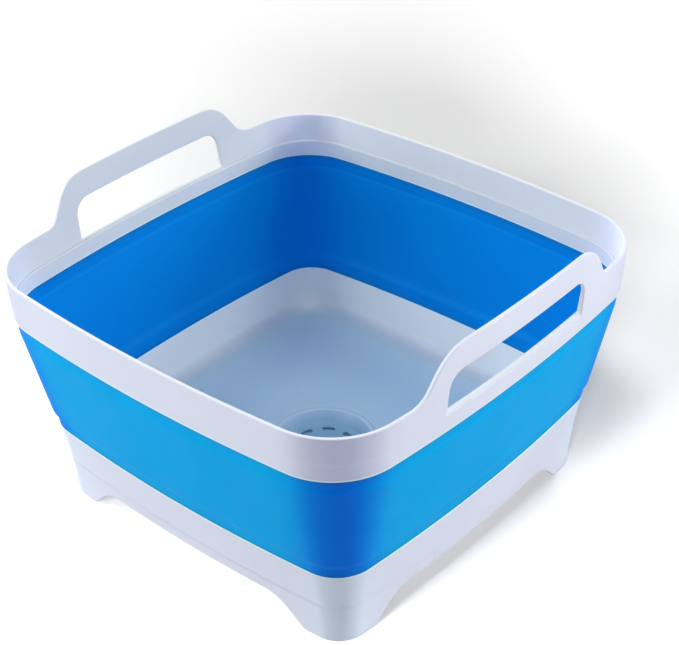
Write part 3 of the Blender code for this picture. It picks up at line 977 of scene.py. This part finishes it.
def strainer():
    """The strainer: a disc with its slots, and round it the cup's wall up to the flange."""
    shape = Shape()
    core, cup_foot, cup_bend, flange_edge, outer_edge = 0.0245, 0.0256, 0.0025, 0.0006, 0.0004
    profile = [(core, DISC_TOP), (cup_foot, DISC_TOP + 0.0001)]
    profile += arc((cup_foot, DISC_TOP + 0.0001 + cup_bend), cup_bend, 285, 320, 5)
    profile += arc((FLANGE_RADIUS + flange_edge, 0.0258), flange_edge, 145, 90, 4)
    profile += arc((0.0348, 0.0260), outer_edge, 90, 0, 4)
    profile += [(0.0352, 0.0253), (0.0350, 0.0252), (0.0341, 0.0252), (0.0288, 0.0183)]
    profile += [(0.0283, DISC_UNDER), (core, DISC_UNDER)]
    turn = np.linspace(0, 2 * math.pi, 120, endpoint=False)
    rows = [(core - r, DISC_TOP - z) for r, z in profile]
    edges = [(circle(turn, core, 0)[:, :2], True, rows)]
    slot_count, first_slot, slot_edge = 8, 32, 0.0004
    rows = edge_rows(slot_edge, DISC_TOP - DISC_UNDER)
    for k in range(slot_count):
        edges.append((bent_slot(math.radians(first_slot + 360 / slot_count * k)), True, rows))
    turn = np.linspace(0, 2 * math.pi, 48, endpoint=False)
    radii = (0.001, 0.005, 0.009, 0.013, 0.0165, 0.0232)
    seeds = np.concatenate([circle(turn, radius, 0)[:, :2] for radius in radii])
    plate(shape, edges, seeds, disc_place, spacing=0.0008)
    # The mark paints shade in the drain's recess.
    marks = {"painted_shade": strainer_shade}
    return shape.piece("strainer", "base", DRAIN_WHITE, ["drain_strainer"], marks)


def plug_body(shape, turn, sole):
    """The plug's outside from its sole up: flange, groove for the seal, top. Returns the sole's row."""
    flange, flange_top, stem, groove, edge = COLLAR_RADIUS, 0.0125, 0.0268, 0.0252, 0.0005
    outside = [(sole, PLUG_UNDER)]
    outside += arc((flange - edge, PLUG_UNDER + edge), edge, 290, 360, 3)
    outside += arc((flange - edge, flange_top - edge), edge, 0, 90, 3)
    outside += [(0.0272, flange_top), (stem, 0.0129), (stem, 0.0144), (groove, 0.0144)]
    outside += [(groove, 0.0162), (stem, 0.0162), (stem, 0.0171), (stem - edge, 0.0176)]
    rows = [shape.row(circle(turn, radius, z)) for radius, z in outside]
    shape.skin(rows)
    shape.cap(rows[-1])
    return rows[0]


def hollow_line(side):
    """Outline of the plug's hollow on one side of its bar, clockwise."""
    corner = 0.0012
    first = math.asin((BAR_HALF + 0.0004) / HOLLOW_RADIUS)
    angles = np.linspace(first, math.pi - first, 40)
    line = [(HOLLOW_RADIUS * math.cos(a), side * HOLLOW_RADIUS * math.sin(a)) for a in angles]
    line = rounded([(*line[0], corner), *line[1:-1], (*line[-1], corner)])
    return np.array(line[::-side])


def plug_underside(shape, turn, sole, ids):
    """The plug's underside between its sole, whose points are ids, and its two hollows."""
    ceiling, chamfer = 0.0156, 0.0008
    steps = [
        (0, PLUG_UNDER),
        (0.0002, PLUG_UNDER + 0.0001),
        (0.0004, PLUG_UNDER + 0.0004),
        (0.0004, ceiling - chamfer),
        (0.0004 + chamfer, ceiling),
    ]
    polygons = [circle(turn, sole, 0)[:, :2]]
    for side in (1, -1):
        line = hollow_line(side)
        normal = inward(line, True)
        rows = []
        for out, z in steps:
            rows.append(shape.row([(x, y, z) for x, y in line - normal * out]))
        shape.skin(rows)
        shape.cap(rows[-1])
        polygons.append(line)
        ids = ids + rows[0]
    shape.faces += [tuple(ids[i] for i in triangle) for triangle in net(polygons)]


def plug_grip(shape):
    """The grip bar, which bows down between the two hollows."""
    half, drop, bend = 0.0165, 0.0025, 0.003
    root, low, top = PLUG_UNDER + 0.0004, PLUG_UNDER - drop, PLUG_UNDER + 0.0006
    ends = [(-HOLLOW_RADIUS, root), (-half, low, bend), (half, low, bend), (HOLLOW_RADIUS, root)]
    section_shares = [(0.7, -1), (0.9, -0.93), (1, -0.7), (1, 0)]
    section_shares = [(-a, b) for a, b in section_shares[::-1]] + section_shares
    rows = []
    for x, z in rounded(ends, steps=8):
        rows.append(shape.row([(x, BAR_HALF * a, top + (top - z) * b) for a, b in section_shares]))
    shape.skin(rows)
    shape.cap(rows[0])
    shape.cap(rows[-1])


def plug():
    """The plug with its grip bar."""
    shape = Shape()
    turn = np.linspace(0, 2 * math.pi, 96, endpoint=False)
    sole = COLLAR_RADIUS - 0.0003
    ids = plug_body(shape, turn, sole)
    plug_underside(shape, turn, sole, ids)
    plug_grip(shape)
    # The mark paints shade under the strainer.
    marks = {"painted_shade": plug_top_shade}
    return shape.piece("plug", "plug", DRAIN_WHITE, ["drain_plug"], marks)


def seal():
    """The seal keeps its solid and gets its rubber."""
    for place in frame["nodes"]["plug_seal"].material_slots:
        place.material = GREY


# Camera, floor and light

# Camera: place, direction and roll in degrees, focal length and sensor in millimetres
CAMERA_PLACE = (0.59182, -0.64330, 0.69317)
CAMERA_AZIMUTH, CAMERA_ELEVATION, CAMERA_ROLL = 41.80, 33.32, -1.35
FOCAL_LENGTH, SENSOR_WIDTH = 87.19, 36

# Lamps for the basin, at LAMP_DISTANCE: azimuth, elevation, watts
LAMP_DISTANCE, LAMP_SIZE, AIM_HEIGHT = 2.2, 0.6, 0.1
LAMPS = (
    (250, 18, 30.5),
    (300, 18, 14.5),
    (-60, 30, 12.5),
    (-30, 40, 14.5),
    (-10, 28, 2.5),
    (70, 65, 10.3),
    (130, 18, 22),
    (130, 40, 13),
)

# Lamps for the floor alone, which is brighter and has its own soft shadow. They stand farther off, to
# light it evenly, and their size and watts are those of lamps at LAMP_DISTANCE that look the same.
FLOOR_LAMP_DISTANCE, FLOOR_LAMP_SIZE = 12, 0.5
FLOOR_LAMPS = (
    (42, 14, 60),
    (28, 18, 40),
    (0, 28, 31),
    (-40, 32, 13),
    (20, 65, 24),
    (200, 65, 2.5),
)

# Tone of the floor as it is seen and as it lights the basin, its half width, light of the world
FLOOR_SEEN, FLOOR_BOUNCE, FLOOR_HALF = 0.82, 0.47, 6
WORLD_LIGHT = 0.02


def direction(azimuth, elevation):
    """Unit vector; azimuth from -Y towards +X, both in degrees."""
    a, e = math.radians(azimuth), math.radians(elevation)
    return Vector((math.sin(a) * math.cos(e), -math.cos(a) * math.cos(e), math.sin(e)))


def camera():
    """The camera of the photograph."""
    back = direction(CAMERA_AZIMUTH, CAMERA_ELEVATION)
    right = direction(CAMERA_AZIMUTH + 90, 0)
    up = back.cross(right)
    roll = math.radians(CAMERA_ROLL)
    across = right * math.cos(roll) + up * math.sin(roll)
    upward = up * math.cos(roll) - right * math.sin(roll)
    data = bpy.data.cameras.new("camera")
    data.sensor_width = SENSOR_WIDTH
    data.lens = FOCAL_LENGTH
    made = bpy.data.objects.new("camera", data)
    turn = Matrix((across, upward, back)).transposed().to_4x4()
    made.matrix_world = Matrix.Translation(CAMERA_PLACE) @ turn
    bpy.context.scene.collection.objects.link(made)
    bpy.context.scene.camera = made


def lamp(name, azimuth, elevation, power, distance, size, lit):
    """A soft lamp that lights the collection lit; size and power are those at LAMP_DISTANCE."""
    scale = distance / LAMP_DISTANCE
    aim = direction(azimuth, elevation)
    data = bpy.data.lights.new(name, "AREA")
    data.shape = "SQUARE"
    data.size = size * scale
    data.energy = power * scale**2
    made = bpy.data.objects.new(name, data)
    made.location = aim * distance + Vector((0, 0, AIM_HEIGHT))
    made.rotation_euler = aim.to_track_quat("Z", "Y").to_euler()
    bpy.context.scene.collection.objects.link(made)
    made.light_linking.receiver_collection = lit


def floor():
    """The floor, paler to the camera than to the light that it throws back."""
    mesh = bpy.data.meshes.new("floor")
    signs = ((-1, -1), (1, -1), (1, 1), (-1, 1))
    mesh.from_pydata([(x * FLOOR_HALF, y * FLOOR_HALF, 0) for x, y in signs], [], [(0, 1, 2, 3)])
    made = bpy.data.objects.new("floor", mesh)
    bpy.context.scene.collection.objects.link(made)
    material, tree, principled = shader("floor", (FLOOR_SEEN,) * 3, 0.9)
    principled.inputs["Specular IOR Level"].default_value = 0
    seen = tree.nodes.new("ShaderNodeLightPath")
    pale = node(tree, "ShaderNodeMapRange", To_Min=FLOOR_BOUNCE, To_Max=FLOOR_SEEN)
    tree.links.new(seen.outputs["Is Camera Ray"], pale.inputs["Value"])
    tree.links.new(pale.outputs["Result"], principled.inputs["Base Color"])
    mesh.materials.append(material)
    return made


def world():
    """White to the camera and in reflections, faint as light."""
    made = bpy.data.worlds.new("world")
    made.use_nodes = True
    tree = made.node_tree
    background = tree.nodes["Background"]
    background.inputs["Color"].default_value = (1, 1, 1, 1)
    seen = tree.nodes.new("ShaderNodeLightPath")
    rays = node(tree, "ShaderNodeMath", operation="MAXIMUM")
    tree.links.new(seen.outputs["Is Camera Ray"], rays.inputs[0])
    tree.links.new(seen.outputs["Is Glossy Ray"], rays.inputs[1])
    strength = node(tree, "ShaderNodeMapRange", To_Min=WORLD_LIGHT, To_Max=1)
    tree.links.new(rays.outputs[0], strength.inputs["Value"])
    tree.links.new(strength.outputs["Result"], background.inputs["Strength"])
    bpy.context.scene.world = made


def lamps(ground):
    """The lamps for the basin and those for the floor, each lighting only its own."""
    around = bpy.data.collections.new("basin")
    below = bpy.data.collections.new("ground")
    for item in bpy.context.scene.objects:
        if item == ground:
            below.objects.link(item)
        elif item.type == "MESH":
            around.objects.link(item)
    for azimuth, elevation, power in LAMPS:
        name = f"lamp_{azimuth}_{elevation}"
        lamp(name, azimuth, elevation, power, LAMP_DISTANCE, LAMP_SIZE, around)
    for azimuth, elevation, power in FLOOR_LAMPS:
        name = f"floor_{azimuth}_{elevation}"
        lamp(name, azimuth, elevation, power, FLOOR_LAMP_DISTANCE, FLOOR_LAMP_SIZE, below)


camera()
rim()
soft_wall()
tray()
strainer()
plug()
seal()
ground = floor()
world()
lamps(ground)
bpy.context.scene.view_settings.view_transform = "Standard"
